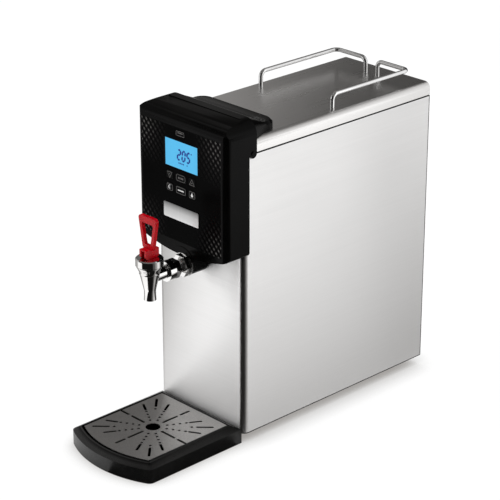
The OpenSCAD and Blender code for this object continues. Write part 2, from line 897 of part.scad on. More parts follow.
module faucet_body() {
    collar_y = shank_front_y - collar_t;
    color([0.8, 0.8, 0.8])
    difference() {
        union() {
            translate([0, spout_y, faucet_z])
                rotate_extrude()
                    polygon([[0, tip_dz], [spout_r + 0.4, tip_dz], [spout_r, tip_dz + 6],
                        [spout_r, cone_low_dz], [cone_r, cone_top_dz], [cone_r + 0.6, cone_top_dz + 0.5],
                        [cone_r + 0.6, band_dz], [cup_rim_r, cup_rim_dz - 1], [cup_rim_r, cup_rim_dz],
                        [0, cup_rim_dz]]);
            y_rod(neck_r, spout_y, collar_y + 1, 0, faucet_z);
            y_rod(collar_r, collar_y, shank_front_y, 0, faucet_z);
        }
        z_rod(chamber_r, faucet_z + seat_dz, faucet_z + cup_rim_dz + cut, 0, spout_y);
        z_rod(seat_bore_r, faucet_z + seat_dz - 4, faucet_z + seat_dz + cut, 0, spout_y);
        z_rod(spout_bore_r, faucet_z + tip_dz - cut, faucet_z + seat_dz - 3, 0, spout_y);
        y_rod(shank_bore_r, spout_y, shank_front_y + cut, 0, faucet_z);
    }
}

module faucet_bonnet() {
    color([0.78, 0.78, 0.78])
    translate([0, spout_y, faucet_z])
        rotate_extrude()
            polygon([[stem_r + run_fit, bonnet_low_dz - bonnet_plug], [chamber_r - slip, bonnet_low_dz - bonnet_plug],
                [chamber_r - slip, cup_rim_dz], [cup_rim_r - 1, cup_rim_dz], [bonnet_r, bonnet_low_dz + 1],
                [bonnet_r, bonnet_top_dz - 1.5], [bonnet_r - 1.5, bonnet_top_dz],
                [stem_r + run_fit, bonnet_top_dz]]);
}

module faucet_stem() {
    color([0.8, 0.8, 0.8])
    difference() {
        z_rod(stem_r, faucet_z + seat_dz + cup_h - cup_socket, faucet_z + pin_dz + 3, 0, spout_y);
        x_rod(pin_r, -stem_r - cut, stem_r + cut, spout_y, faucet_z + pin_dz);
    }
}

module seat_cup() {
    color([0.85, 0.85, 0.8])
    translate([0, spout_y, faucet_z + seat_dz])
        difference() {
            cylinder(r = cup_r, h = cup_h);
            translate([0, 0, cup_h - cup_socket]) cylinder(r = stem_r, h = cup_socket + cut);
        }
}

// A coil about Z as one unbroken tube: six-sided rings, eight to a turn
function coil_ring(i, n, z0, z1) =
    let (turn = i / n * spring_turns * 360, z = z0 + (z1 - z0) * i / n)
    [for (k = [0 : 5])
        let (r = spring_r + spring_wire_r * cos(60 * k))
        [r * cos(turn), r * sin(turn), z + spring_wire_r * sin(60 * k)]];

module faucet_spring() {
    n = 8 * spring_turns;
    z0 = spring_low_dz + spring_wire_r;
    z1 = spring_top_dz - spring_wire_r;
    rings = [for (i = [0 : n]) coil_ring(i, n, z0, z1)];
    sides = [for (i = [0 : n - 1], k = [0 : 5])
        [6 * i + k, 6 * i + (k + 1) % 6, 6 * i + 6 + (k + 1) % 6, 6 * i + 6 + k]];
    ends = [[5, 4, 3, 2, 1, 0], [for (k = [0 : 5]) 6 * n + k]];
    echo(least_gap_between_turns = (z1 - z0) / spring_turns - 2 * spring_wire_r);
    color([0.7, 0.7, 0.7])
    translate([0, spout_y, faucet_z])
        polyhedron([for (ring = rings) each ring], concat(sides, ends));
}

// The loop seen from the front: a bar on two arms that lean in to the cam block
module handle_loop() {
    outer_r = 4.5;
    inner_r = 2.5;
    foot_half = 11;
    arm_w = 4.7;
    bar_h = 10;
    top_x = handle_w / 2 - outer_r;
    foot_x = foot_half - outer_r;
    top_z = handle_h - outer_r;
    foot_z = cam_h - 1.5 + outer_r;
    hole_top_x = handle_w / 2 - 1.5 - arm_w - inner_r;
    hole_foot_x = foot_half - arm_w - inner_r;
    hole_top_z = handle_h - bar_h - inner_r;
    hole_foot_z = cam_h + 5 + inner_r;
    difference() {
        round_quad([[-foot_x, foot_z], [foot_x, foot_z], [top_x, top_z], [-top_x, top_z]], outer_r);
        round_quad([[-hole_foot_x, hole_foot_z], [hole_foot_x, hole_foot_z], [hole_top_x, hole_top_z],
            [-hole_top_x, hole_top_z]], inner_r);
    }
}

// The cam block seen from the side, its two lower edges round
module cam_outline() {
    translate([-cam_d / 2 + cam_r, 0]) square([cam_d - 2 * cam_r, cam_h]);
    translate([-cam_d / 2, cam_r]) square([cam_d, cam_h - cam_r]);
    for (y = [-1, 1]) translate([y * (cam_d / 2 - cam_r), cam_r]) circle(cam_r);
}

module handle() {
    slot_w = 2 * stem_r + 1;
    roof = 1.8;
    color([0.78, 0.06, 0.12])
    translate([0, spout_y, faucet_z + bonnet_top_dz + cam_gap])
        difference() {
            union() {
                along_x(-cam_w / 2, cam_w / 2) cam_outline();
                along_y(-handle_t / 2, handle_t / 2) handle_loop();
            }
            box([-slot_w / 2, -cam_d, -cut], [slot_w / 2, cam_d, cam_h - roof]);
            x_rod(pin_r + run_fit, -cam_w, cam_w, 0, pin_dz - bonnet_top_dz - cam_gap);
        }
}

module handle_pin() {
    color([0.75, 0.75, 0.75])
    x_rod(pin_r, -cam_w / 2, cam_w / 2, spout_y, faucet_z + pin_dz);
}

// Tank and the parts on it
module tank() {
    wall_y = tank_back_y - 2 * tank_wall;
    color([0.8, 0.8, 0.82])
    difference() {
        box([-tank_half, tank_y, tank_z], [tank_half, tank_back_y, tank_top_z]);
        box([-tank_half + tank_wall, tank_y + tank_wall, tank_z + tank_wall],
            [tank_half - tank_wall, tank_back_y - tank_wall, tank_top_z + cut]);
        y_rod(shank_r + slip, tank_y - cut, tank_y + 2 * tank_wall, 0, faucet_z);
        for (x = [-1, 1]) y_rod(element_r + run_fit, wall_y, tank_back_y + cut, x * element_x, element_z);
        y_rod(probe_r + run_fit, wall_y, tank_back_y + cut, probe_x, probe_z);
        z_rod(tube_r + run_fit, tank_z - cut, tank_z + 2 * tank_wall, fill_x, fill_y);
    }
}

module tank_gasket() {
    color([0.8, 0.8, 0.78])
    difference() {
        box([-tank_half, tank_y, tank_top_z], [tank_half, tank_back_y, tank_top_z + gasket_t]);
        box([-tank_half + gasket_w, tank_y + gasket_w, tank_top_z - cut],
            [tank_half - gasket_w, tank_back_y - gasket_w, tank_top_z + gasket_t + cut]);
    }
}

module tank_cover() {
    color([0.78, 0.78, 0.8])
    difference() {
        box([-tank_half, tank_y, tank_top_z + gasket_t], [tank_half, tank_back_y, cover_top_z]);
        z_rod(level_r + run_fit, tank_top_z, cover_top_z + cut, level_x, level_y);
        z_rod(tube_r + run_fit, tank_top_z, cover_top_z + cut, vent_x, vent_y);
    }
}

module tank_jacket() {
    back = tank_back_y + jacket_t;
    color([0.75, 0.72, 0.62])
    difference() {
        translate([0, 0, shelf_z])
            linear_extrude(tank_top_z - shelf_z)
                round_front(2 * (tank_half + jacket_t), tank_y - jacket_t, back, jacket_t);
        box([-tank_half, tank_y, tank_z], [tank_half, tank_back_y, tank_top_z + cut]);
        y_rod(shank_r + slip, tank_y - jacket_t - cut, tank_y + cut, 0, faucet_z);
        y_rod(element_flange_r + 2, tank_back_y - cut, back + cut, 0, element_z);
        y_rod(probe_head_r + slip, tank_back_y - cut, back + cut, probe_x, probe_z);
        y_rod(cutout_r + slip, tank_back_y - cut, back + cut, cutout_x, cutout_z);
        z_rod(tube_r + slip, shelf_z - cut, tank_z + cut, fill_x, fill_y);
    }
}

module tank_shelf() {
    half = half_w - sheet;
    y0 = front_y + corner_r + 2;
    y1 = tank_back_y + jacket_t;
    color([0.72, 0.72, 0.72])
    difference() {
        box([-half, y0, shelf_z - shelf_drop], [half, y1, shelf_z]);
        box([-half + shelf_t, y0 - cut, shelf_z - shelf_drop - cut], [half - shelf_t, y1 + cut, shelf_z - shelf_t]);
        z_rod(tube_r + slip, shelf_z - 3 * shelf_t, shelf_z + cut, fill_x, fill_y);
    }
}

module heating_element() {
    y_front = tank_back_y - element_len;
    y_back = tank_back_y + jacket_t + terminal_len;
    color([0.55, 0.55, 0.55])
    union() {
        for (x = [-1, 1]) y_rod(element_r, y_front, y_back, x * element_x, element_z);
        translate([0, y_front, element_z])
            rotate([0, 0, 180]) rotate_extrude(angle = 180) translate([element_x, 0]) circle(element_r);
        y_rod(element_flange_r, tank_back_y, tank_back_y + element_flange_t, 0, element_z);
        for (x = [-1, 1]) y_rod(terminal_r, y_back - cut, y_back + terminal_len, x * element_x, element_z);
    }
}

module level_probe() {
    color([0.85, 0.85, 0.85])
    union() {
        z_rod(level_r, tank_top_z - level_len, cover_top_z + cut, level_x, level_y);
        z_rod(level_head_r, cover_top_z, cover_top_z + level_head_h, level_x, level_y);
    }
}

module temperature_probe() {
    color([0.7, 0.7, 0.7])
    union() {
        y_rod(probe_r, tank_back_y - probe_len, tank_back_y + cut, probe_x, probe_z);
        y_rod(probe_head_r, tank_back_y, tank_back_y + jacket_t + fitting_proud, probe_x, probe_z);
    }
}

module thermal_cutout() {
    color([0.3, 0.3, 0.3])
    y_rod(cutout_r, tank_back_y, tank_back_y + jacket_t + fitting_proud, cutout_x, cutout_z);
}

// Vent and overflow: a collar on the cover, two bends, and a drop to the drain hole in the pan
module vent_path(r) {
    bend_z = cover_top_z + 2;
    z_rod(r, tank_top_z, bend_z, vent_x, vent_y);
    translate([vent_x, vent_y + vent_bend, bend_z])
        rotate([90, 0, 90]) rotate([0, 0, 90]) elbow(vent_bend, r);
    y_rod(r, vent_y + vent_bend, vent_drop_y - vent_bend, vent_x, bend_z + vent_bend);
    translate([vent_x, vent_drop_y - vent_bend, bend_z]) rotate([90, 0, 90]) elbow(vent_bend, r);
    z_rod(r, foot_h, bend_z, vent_x, vent_drop_y);
}

module vent_tube() {
    outlet_h = 30;
    color([0.85, 0.85, 0.83])
    difference() {
        union() {
            vent_path(tube_r);
            z_rod(vent_collar_r, cover_top_z, cover_top_z + cover_t, vent_x, vent_y);
        }
        z_rod(tube_bore_r, tank_top_z - cut, cover_top_z, vent_x, vent_y);
        z_rod(tube_bore_r, foot_h - cut, foot_h + outlet_h, vent_x, vent_drop_y);
    }
}

module fill_tube() {
    color([0.85, 0.85, 0.83])
    difference() {
        z_rod(tube_r, valve_top_z, tank_z + tube_in, fill_x, fill_y);
        z_rod(tube_bore_r, valve_top_z - cut, tank_z + tube_in + cut, fill_x, fill_y);
    }
}

// Inlet valve: a body on a foot, its coil to the side
module inlet_valve() {
    half = valve_w / 2;
    color([0.85, 0.85, 0.88])
    difference() {
        union() {
            box([fill_x - half, fill_y - valve_d / 2, valve_low_z],
                [fill_x + half, fill_y + valve_d / 2, valve_top_z]);
            box([fill_x - half, fill_y - valve_foot_d / 2, pan_floor_z],
                [fill_x + half, fill_y + valve_foot_d / 2, valve_low_z + cut]);
            x_rod(coil_r, fill_x + half - cut, fill_x + half + coil_len, fill_y, inlet_z);
        }
        z_rod(tube_bore_r, inlet_z, valve_top_z + cut, fill_x, fill_y);
        y_rod(tube_bore_r, fill_y, fill_y + valve_d / 2 + cut, fill_x, inlet_z);
    }
}

// A plain hexagon along Y, given across its corners
module y_hex(r, y0, y1, x, z) {
    translate([x, y1, z]) rotate([90, 0, 0]) cylinder(r = r, h = y1 - y0, $fn = 6);
}

module inlet_fitting() {
    y0 = fill_y + valve_d / 2;
    panel_y = back_y - sheet;
    color([0.75, 0.62, 0.3])
    difference() {
        union() {
            y_rod(inlet_r, y0, back_y + stub_out, fill_x, inlet_z);
            y_hex(inlet_nut_r, panel_y - inlet_nut_t, panel_y, fill_x, inlet_z);
            y_hex(inlet_nut_r, back_y, back_y + inlet_nut_t, fill_x, inlet_z);
        }
        y_rod(tube_bore_r, y0 - cut, back_y + stub_out + cut, fill_x, inlet_z);
    }
}

module cord_gland() {
    panel_y = back_y - sheet;
    color([0.08, 0.08, 0.08])
    difference() {
        union() {
            y_rod(gland_r, back_y - gland_in, back_y + gland_out, gland_x, inlet_z);
            y_rod(gland_flange_r, back_y, back_y + gland_flange_t, gland_x, inlet_z);
            y_hex(gland_nut_r, panel_y - gland_flange_t, panel_y, gland_x, inlet_z);
        }
        y_rod(gland_bore_r, back_y - gland_in - cut, back_y + gland_out + cut, gland_x, inlet_z);
    }
}

// Power electronics under the tank
module power_board() {
    color([0.12, 0.38, 0.2])
    union() {
        box([power_x, power_y, power_plate_z], [power_x + power_w, power_y + power_d, power_top_z]);
        for (x = [power_post_in, power_w - power_post_in], y = [power_post_in, power_d - power_post_in])
            z_rod(power_post_r, pan_floor_z, power_top_z - board_t / 2, power_x + x, power_y + y);
    }
}

// A block on the power board, from its size and its place on the board
module on_board(at, size) {
    translate([power_x, power_y, power_top_z]) translate(at) cube(size);
}

module relay() {
    color([0.12, 0.12, 0.14]) on_board(relay_at, relay_size);
}

module transformer() {
    color([0.35, 0.35, 0.36])
    union() {
        on_board(core_at, core_size);
        on_board(winding_at, winding_size);
    }
}

// Drip tray
module tray_outline(inset, front_gap = 0) {
    r = max(tray_corner_r - inset, 2);
    arc_r = tray_arc_r - inset - front_gap;
    half = tray_half - inset;
    corner_x = half - r;
    corner_y = tray_arc_y - sqrt(pow(arc_r - r, 2) - pow(corner_x, 2));
    touch_x = corner_x * arc_r / (arc_r - r);
    back = tray_back_y - inset;
    translate([-half, corner_y]) square([2 * half, back - corner_y]);
    for (x = [-1, 1]) translate([x * corner_x, corner_y]) circle(r);
    intersection() {
        translate([0, tray_arc_y]) circle(arc_r, $fn = 240);
        translate([-touch_x, tray_front_y - cut]) square([2 * touch_x, corner_y - tray_front_y + 2 * cut]);
    }
}

module tray_slab(inset, z0, z1) {
    translate([0, 0, z0]) linear_extrude(z1 - z0) tray_outline(inset);
}

module drip_tray() {
    seat_z = tray_h - grate_t;
    roof_z = tray_wall_h - 3;
    color([0.1, 0.1, 0.1])
    difference() {
        union() {
            difference() {
                union() {
                    tray_slab(0, 0, tray_wall_h);
                    hull() {
                        tray_slab(0, tray_wall_h - 0.5, tray_wall_h);
                        tray_slab(rim_run, tray_h - 0.5, tray_h);
                    }
                }
                tray_slab(tray_skin, tray_skin, roof_z);
                hull() {
                    tray_slab(tray_skin, roof_z - 0.5, roof_z);
                    tray_slab(rim_run + tray_skin - 1, seat_z - 2.5, seat_z - 2);
                }
                tray_slab(ledge_inset, tray_skin, tray_h + cut);
                tray_slab(grate_inset - grate_gap, seat_z, tray_h + cut);
            }
            for (x = [-1, 1])
                box([x * hook_x - hook_w / 2 - 3, front_y - hook_in - 4, tray_skin - 1],
                    [x * hook_x + hook_w / 2 + 3, tray_back_y - 1, hook_z + 4]);
        }
        for (x = [-1, 1])
            box([x * hook_x - hook_w / 2 - 0.5, front_y - hook_in - 0.5, hook_z - 0.4],
                [x * hook_x + hook_w / 2 + 0.5, front_y + cut, foot_h + 0.4]);
    }
}

// The grate: a drain hole and sixteen spokes of slots and round holes about it
// The grate's slots and dots are placed by their distances from its middle hole
module drip_grate() {
    slot_w = 4;
    dot_r = 2.1;
    cross_slots = [[20, 46], [54, 69]];
    diagonal_dot = 56;
    diagonal_slot = [64, 86];
    fan_dot = 21;
    fan_step = 9.4;
    fan_slot = [55, 71];
    color([0.6, 0.6, 0.6])
    translate([0, 0, tray_h - grate_t])
        linear_extrude(grate_t)
            difference() {
                tray_outline(grate_inset, grate_front_gap);
                translate([0, spout_y]) {
                    circle(drain_r);
                    for (a = [0 : 90 : 270]) rotate(a) {
                        for (s = cross_slots) slot(s[0], s[1], slot_w);
                    }
                    for (a = [45 : 90 : 315]) rotate(a) {
                        translate([diagonal_dot, 0]) circle(dot_r);
                        slot(diagonal_slot[0], diagonal_slot[1], slot_w);
                    }
                    for (a = [0 : 90 : 270], spread = [30, 60]) rotate(a + spread) {
                        for (i = [0 : 3]) translate([fan_dot + fan_step * i, 0]) circle(dot_r);
                        slot(fan_slot[0], fan_slot[1], slot_w);
                    }
                }
            }
}

body_wrap();
base_pan();
rear_panel();
lid();
rail_left();
rail_right();
rail_nuts();
rubber_feet();
case_screws();
tray_bracket();
head_shell();
head_saddle();
saddle_screws();
control_overlay();
lcd_window();
lcd_module();
key_power();
key_down();
key_program();
key_up();
key_left();
key_start();
key_right();
control_board();
key_switches();
badge_plate();
faucet_sleeve();
faucet_shank();
shank_washer();
shank_nut();
coupling_nut();
tank_seal();
tank_nut();
faucet_body();
faucet_bonnet();
faucet_stem();
seat_cup();
faucet_spring();
handle();
handle_pin();
tank();
tank_cover();
tank_gasket();
tank_jacket();
tank_shelf();
heating_element();
level_probe();
temperature_probe();
thermal_cutout();
vent_tube();
fill_tube();
inlet_valve();
inlet_fitting();
cord_gland();
power_board();
relay();
transformer();
drip_tray();
drip_grate();
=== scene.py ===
import json
import math
import bpy
import bmesh
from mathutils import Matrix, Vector


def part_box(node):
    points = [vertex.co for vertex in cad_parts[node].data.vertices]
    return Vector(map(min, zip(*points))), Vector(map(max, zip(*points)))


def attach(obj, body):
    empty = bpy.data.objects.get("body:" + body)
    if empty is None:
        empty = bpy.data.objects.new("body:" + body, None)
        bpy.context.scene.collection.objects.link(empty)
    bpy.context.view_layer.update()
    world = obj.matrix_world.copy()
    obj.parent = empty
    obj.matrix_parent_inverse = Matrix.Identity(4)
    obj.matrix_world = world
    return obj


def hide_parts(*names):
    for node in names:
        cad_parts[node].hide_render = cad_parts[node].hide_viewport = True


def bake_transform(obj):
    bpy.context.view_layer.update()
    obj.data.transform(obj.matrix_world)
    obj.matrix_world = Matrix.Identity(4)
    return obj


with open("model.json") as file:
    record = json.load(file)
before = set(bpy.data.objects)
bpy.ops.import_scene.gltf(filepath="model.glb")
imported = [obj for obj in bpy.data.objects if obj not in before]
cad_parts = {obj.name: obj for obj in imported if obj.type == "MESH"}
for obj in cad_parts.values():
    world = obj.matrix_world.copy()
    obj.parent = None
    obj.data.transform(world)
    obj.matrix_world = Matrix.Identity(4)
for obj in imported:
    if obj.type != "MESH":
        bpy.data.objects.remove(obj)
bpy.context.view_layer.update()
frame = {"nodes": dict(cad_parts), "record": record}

MM = 0.001
EDGE_ANGLE = 32  # degrees: edges that turn by less are shaded smooth
NODES = frame["nodes"]
SLOT_OF = {p["node"]: p["material_slot"] for p in frame["record"]["subparts"]}
scene = bpy.context.scene
scene.view_settings.view_transform = "Standard"


# Materials
NOISE = (0.3, 0.7)  # most of a noise texture's values lie between these


class Look:
    """A principled material and short calls for the nodes that feed it."""

    def __init__(self, name, **sockets):
        self.mat = bpy.data.materials.new(name)
        self.mat.use_nodes = True
        self.tree = self.mat.node_tree
        self.bsdf = self.tree.nodes["Principled BSDF"]
        for key, value in sockets.items():
            self.bsdf.inputs[key.replace("_", " ")].default_value = value

    def add(self, kind, settings=(), **inputs):
        """A node with its settings. Inputs are set or linked by name, or by number as i0 and i1."""
        node = self.tree.nodes.new(kind)
        for key, value in dict(settings).items():
            setattr(node, key, value)
        for key, value in inputs.items():
            socket = node.inputs[int(key[1]) if key in ("i0", "i1") else key]
            if isinstance(value, bpy.types.NodeSocket):
                self.tree.links.new(value, socket)
            else:
                socket.default_value = value
        return node

    def coords(self, scale=(1, 1, 1), turn=(0, 0, 0)):
        at = self.add("ShaderNodeTexCoord").outputs["Object"]
        return self.add("ShaderNodeMapping", Vector=at, Scale=scale, Rotation=turn).outputs[0]

    def xyz(self, at):
        return self.add("ShaderNodeSeparateXYZ", Vector=at).outputs

    def noise(self, at, scale, detail):
        return self.add("ShaderNodeTexNoise", Vector=at, Scale=scale, Detail=detail).outputs["Fac"]

    def math(self, operation, a, b=0.0, clamp=False):
        return self.add("ShaderNodeMath", {"operation": operation, "use_clamp": clamp}, i0=a, i1=b).outputs[0]

    def span(self, value, low, high, out_low=0.0, out_high=1.0, kind="LINEAR"):
        node = self.add("ShaderNodeMapRange", {"interpolation_type": kind}, Value=value)
        for key, v in zip(("From Min", "From Max", "To Min", "To Max"), (low, high, out_low, out_high)):
            node.inputs[key].default_value = v
        return node.outputs[0]

    def ramp(self, value, *stops):
        node = self.add("ShaderNodeValToRGB", Fac=value)
        elements = node.color_ramp.elements
        while len(elements) < len(stops):
            elements.new(0.5)
        for element, (place, colour) in zip(elements, stops):
            element.position = place
            element.color = (*colour, 1)
        return node.outputs[0]

    def tones(self, noise, low, high):
        return self.ramp(noise, (NOISE[0], low), (NOISE[1], high))

    def set(self, **links):
        for key, value in links.items():
            self.tree.links.new(value, self.bsdf.inputs[key.replace("_", " ")])
        return self

    def roughness(self, noise, rough):
        return self.set(Roughness=self.span(noise, *NOISE, *rough))

    def bump(self, height, strength, distance):
        node = self.add("ShaderNodeBump", Height=height, Strength=strength, Distance=distance)
        return self.set(Normal=node.outputs[0])


def grey(v, warm=0.0):
    return (v * (1 + warm), v, v * (1 - warm))


def wrap_edge_painted_shade(m):
    """1 along the wrap's folded back, lower and upper edges, where a thin line of painted shade darkens the steel."""
    at, (first, last) = m.xyz(m.coords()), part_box("body_wrap")
    back = m.span(at[1], last.y - 1.8 * MM, last.y - 0.8 * MM)
    foot = m.span(at[2], first.z + 0.8 * MM, first.z + 1.8 * MM, 1.0, 0.0)
    top = m.span(at[2], last.z - 1.6 * MM, last.z - 0.9 * MM)
    return m.math("MAXIMUM", m.math("MAXIMUM", back, foot), top)


def grate_edge_painted_shade(m):
    """1 along the grate's two sides and back, where its edge turns down into the tray: painted shade that stands for
    the dark gap there.
    """
    at, last = m.xyz(m.coords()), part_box("drip_grate")[1]
    side = m.span(m.math("ABSOLUTE", at[0]), last.x - 3.0 * MM, last.x - 2.0 * MM)
    back = m.span(at[1], last.y - 2.0 * MM, last.y - 1.2 * MM)
    return m.math("MAXIMUM", side, back)


def brushed(name, low, high, rough, grain=(6, 6, 900), bump=0.012, stretch=0.0, dark=None):
    """Sheet metal: a fine grain across the axis of grain's largest figure, faint cloudy wear, and painted shade where
    a dark mask is given.
    """
    m = Look(name, Metallic=1.0, Anisotropic=stretch, Anisotropic_Rotation=0.25)
    if stretch:
        round_z = m.add("ShaderNodeTangent", {"direction_type": "RADIAL", "axis": "Z"})
        m.set(Tangent=round_z.outputs[0])
    line = m.noise(m.coords(grain), 1.0, 3.0)
    cloud = m.noise(m.coords(), 9.0, 3.0)
    both = m.math("ADD", m.math("MULTIPLY", line, 0.7), m.math("MULTIPLY", cloud, 0.3))
    # painted shade: where the dark mask is 1 the colour falls to near black
    if dark:
        both = m.math("SUBTRACT", both, dark(m), True)
        m.set(Base_Color=m.ramp(both, (0.0, grey(0.03)), (NOISE[0], low), (NOISE[1], high)))
    else:
        m.set(Base_Color=m.tones(both, low, high))
    m.roughness(both, rough[::-1])
    return m.bump(line, bump, 0.2 * MM).mat


def polished(name, low, high, rough, scale=60.0):
    """Plated or turned metal: a mirror with thin smears."""
    m = Look(name, Metallic=1.0)
    smear = m.noise(m.coords((1, 1, 0.4)), scale, 5.0)
    m.set(Base_Color=m.tones(smear, low, high), Roughness=m.span(smear, 0.35, 0.75, *rough))
    return m.mat


def moulded(name, low, high, rough, grain=1800.0, bump=0.08, **sockets):
    """Moulded plastic or rubber with a fine sparked grain and slight tone changes."""
    m = Look(name, **sockets)
    fine = m.noise(m.coords(), grain, 2.0)
    broad = m.noise(m.coords(), 22.0, 3.0)
    m.set(Base_Color=m.tones(broad, low, high)).roughness(fine, rough)
    return m.bump(fine, bump, 0.1 * MM).mat


def tray_with_painted_well_shade(name, low, high, rough, gloss):
    """Moulded tray: satin outside; in the well and on the step that the grate sits in, painted shade makes it a dull
    black.
    """
    m = Look(name, Specular_IOR_Level=gloss)
    fine, broad = m.noise(m.coords(), 1500.0, 2.0), m.noise(m.coords(), 22.0, 3.0)
    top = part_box("drip_tray")[1].z
    normal = m.xyz(m.add("ShaderNodeNewGeometry").outputs["Normal"])
    facing_up = m.span(normal[2], 0.92, 0.97)
    below_rim = m.span(m.xyz(m.coords())[2], top - 1.1 * MM, top - 0.8 * MM, 1.0, 0.0)
    # painted shade: up-facing faces below the rim are darkened to near black and lose their gloss
    inside = m.math("MULTIPLY", facing_up, below_rim)
    tone = m.math("SUBTRACT", broad, inside, True)
    m.set(Base_Color=m.ramp(tone, (0.0, grey(0.0006)), (NOISE[0], low), (NOISE[1], high)))
    m.set(Specular_IOR_Level=m.span(inside, 0.0, 1.0, gloss, 0.0)).roughness(fine, rough)
    return m.bump(fine, 0.08, 0.1 * MM).mat


def overlay_film():
    """Gloss black film: a woven twill print at the four corners, fading to plain black in the middle."""
    m = Look("overlay_black", Roughness=0.25, Specular_IOR_Level=0.014)
    at, (low, high) = m.xyz(m.coords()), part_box("control_overlay")
    middle, reach = (low.z + high.z) / 2 - 4 * MM, (high.z - low.z) / 2
    across = m.math("DIVIDE", m.math("ABSOLUTE", at[0]), high.x)
    up = m.math("DIVIDE", m.math("ABSOLUTE", m.math("SUBTRACT", at[2], middle)), reach)
    corners = m.math("MULTIPLY", m.span(across, 0.30, 1.0, kind="SMOOTHSTEP"),
                     m.span(up, 0.18, 0.95, kind="SMOOTHSTEP"))
    slant = 0.72
    waves = []
    for turn in (slant, -slant):
        wave = m.add("ShaderNodeTexWave", {"wave_type": "BANDS", "bands_direction": "X"},
                     Vector=m.coords(turn=(0, turn, 0)), Scale=44.0)
        waves.append(wave.outputs["Fac"])
    knot = m.math("MULTIPLY", m.math("POWER", waves[0], 1.6), m.span(waves[1], 0.0, 1.0, 0.15, 1.0))
    twill = m.math("MULTIPLY", knot, corners)
    m.set(Base_Color=m.ramp(twill, (0.0, grey(0.0006)), (0.30, grey(0.010, 0.04)), (0.75, grey(0.075, 0.05))))
    return m.bump(twill, 0.15, 0.2 * MM).mat


def lit_window():
    """Backlit display: even blue with a faint fall-off and a fine cell grid, in a black printed border."""
    m = Look("lcd_glass", Roughness=0.25, Specular_IOR_Level=0.05)
    at, (low, high) = m.xyz(m.coords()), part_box("lcd_window")
    lit_x, half_w, half_h, soft = 1.2 * MM, 32.8 * MM, 19.9 * MM, 0.3 * MM
    wide = m.math("ABSOLUTE", m.math("SUBTRACT", at[0], lit_x))
    tall = m.math("ABSOLUTE", m.math("SUBTRACT", at[2], (low.z + high.z) / 2))
    lit = m.math("MULTIPLY", m.span(wide, half_w, half_w + soft, 1.0, 0.0),
                 m.span(tall, half_h, half_h + soft, 1.0, 0.0))
    cells = m.add("ShaderNodeTexChecker", Vector=m.coords(), Scale=1600.0).outputs["Fac"]
    glow = m.math("SUBTRACT", m.span(wide, 18 * MM, 34 * MM, 1.0, 0.93), m.math("MULTIPLY", cells, 0.02))
    m.set(Emission_Color=m.ramp(glow, (0.85, (0.085, 0.44, 0.75)), (1.0, (0.098, 0.49, 0.82))),
          Emission_Strength=m.span(lit, 0.0, 1.0, 0.0, 0.86),
          Base_Color=m.ramp(lit, (0.0, grey(0.0012)), (1.0, (0.02, 0.09, 0.15))))
    return m.mat


def circuit():
    """Green board with a faint pattern of tracks."""
    m = Look("board_green", Roughness=0.35)
    upright = m.coords(turn=(math.pi / 2, 0, 0))
    tracks = m.add("ShaderNodeTexBrick", Vector=upright, Scale=160.0).outputs["Fac"]
    m.set(Base_Color=m.ramp(tracks, (0.2, (0.03, 0.2, 0.07)), (0.8, (0.08, 0.3, 0.1))))
    return m.bump(tracks, 0.2, 0.1 * MM).mat


def laminated():
    """Stacked iron leaves."""
    m = Look("transformer_iron", Metallic=0.7)
    leaf = m.add("ShaderNodeTexWave", {"bands_direction": "Z"}, Vector=m.coords(), Scale=500.0).outputs["Fac"]
    m.set(Base_Color=m.ramp(leaf, (0.2, grey(0.10)), (0.8, grey(0.2))), Roughness=m.span(leaf, 0, 1, 0.35, 0.55))
    return m.bump(leaf, 0.3, 0.2 * MM).mat


def felt():
    """Fibrous insulation."""
    m = Look("jacket_felt", Roughness=0.95, Sheen_Weight=0.3)
    fibre = m.noise(m.coords((1, 1, 3)), 420.0, 6.0)
    m.set(Base_Color=m.tones(fibre, (0.5, 0.46, 0.36), (0.74, 0.70, 0.58)))
    return m.bump(fibre, 0.6, 0.8 * MM).mat


def lid_with_painted_seam_shade():
    """The lid's fine satin sheet, with painted shade making its skirt near black inside the seam."""
    m = Look("lid_steel", Metallic=1.0)
    seam_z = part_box("body_wrap")[1].z + 1 * MM
    line = m.noise(m.coords((500, 5, 500)), 1.0, 2.0)
    # painted shade: below the seam the skirt's colour falls to near black
    above_seam = m.span(m.xyz(m.coords())[2], seam_z, seam_z + 0.1 * MM)
    tone = m.math("MULTIPLY", above_seam, m.span(line, *NOISE, 0.94, 1.0))
    m.set(Base_Color=m.ramp(tone, (0.0, grey(0.008)), (0.94, grey(0.74, 0.012)), (1.0, grey(0.77, 0.012))))
    return m.roughness(line, (0.27, 0.31)).bump(line, 0.006, 0.2 * MM).mat


def badge_with_painted_reflection():
    """Bare brushed plate with a painted reflection: pale at the bottom, darkening towards its upper edge."""
    m = Look("badge_metal", Metallic=1.0)
    low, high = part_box("badge_plate")
    line = m.noise(m.coords((900, 900, 20)), 1.0, 2.0)
    # painted reflection: the colour darkens with height across the plate
    up = m.span(m.xyz(m.coords())[2], low.z, high.z)
    tone = m.math("ADD", m.math("MULTIPLY", up, 0.9), m.math("MULTIPLY", line, 0.1))
    m.set(Base_Color=m.ramp(tone, (0.1, grey(0.70)), (0.55, grey(0.52)), (0.95, grey(0.16))))
    return m.roughness(line, (0.28, 0.36)).bump(line, 0.02, 0.1 * MM).mat


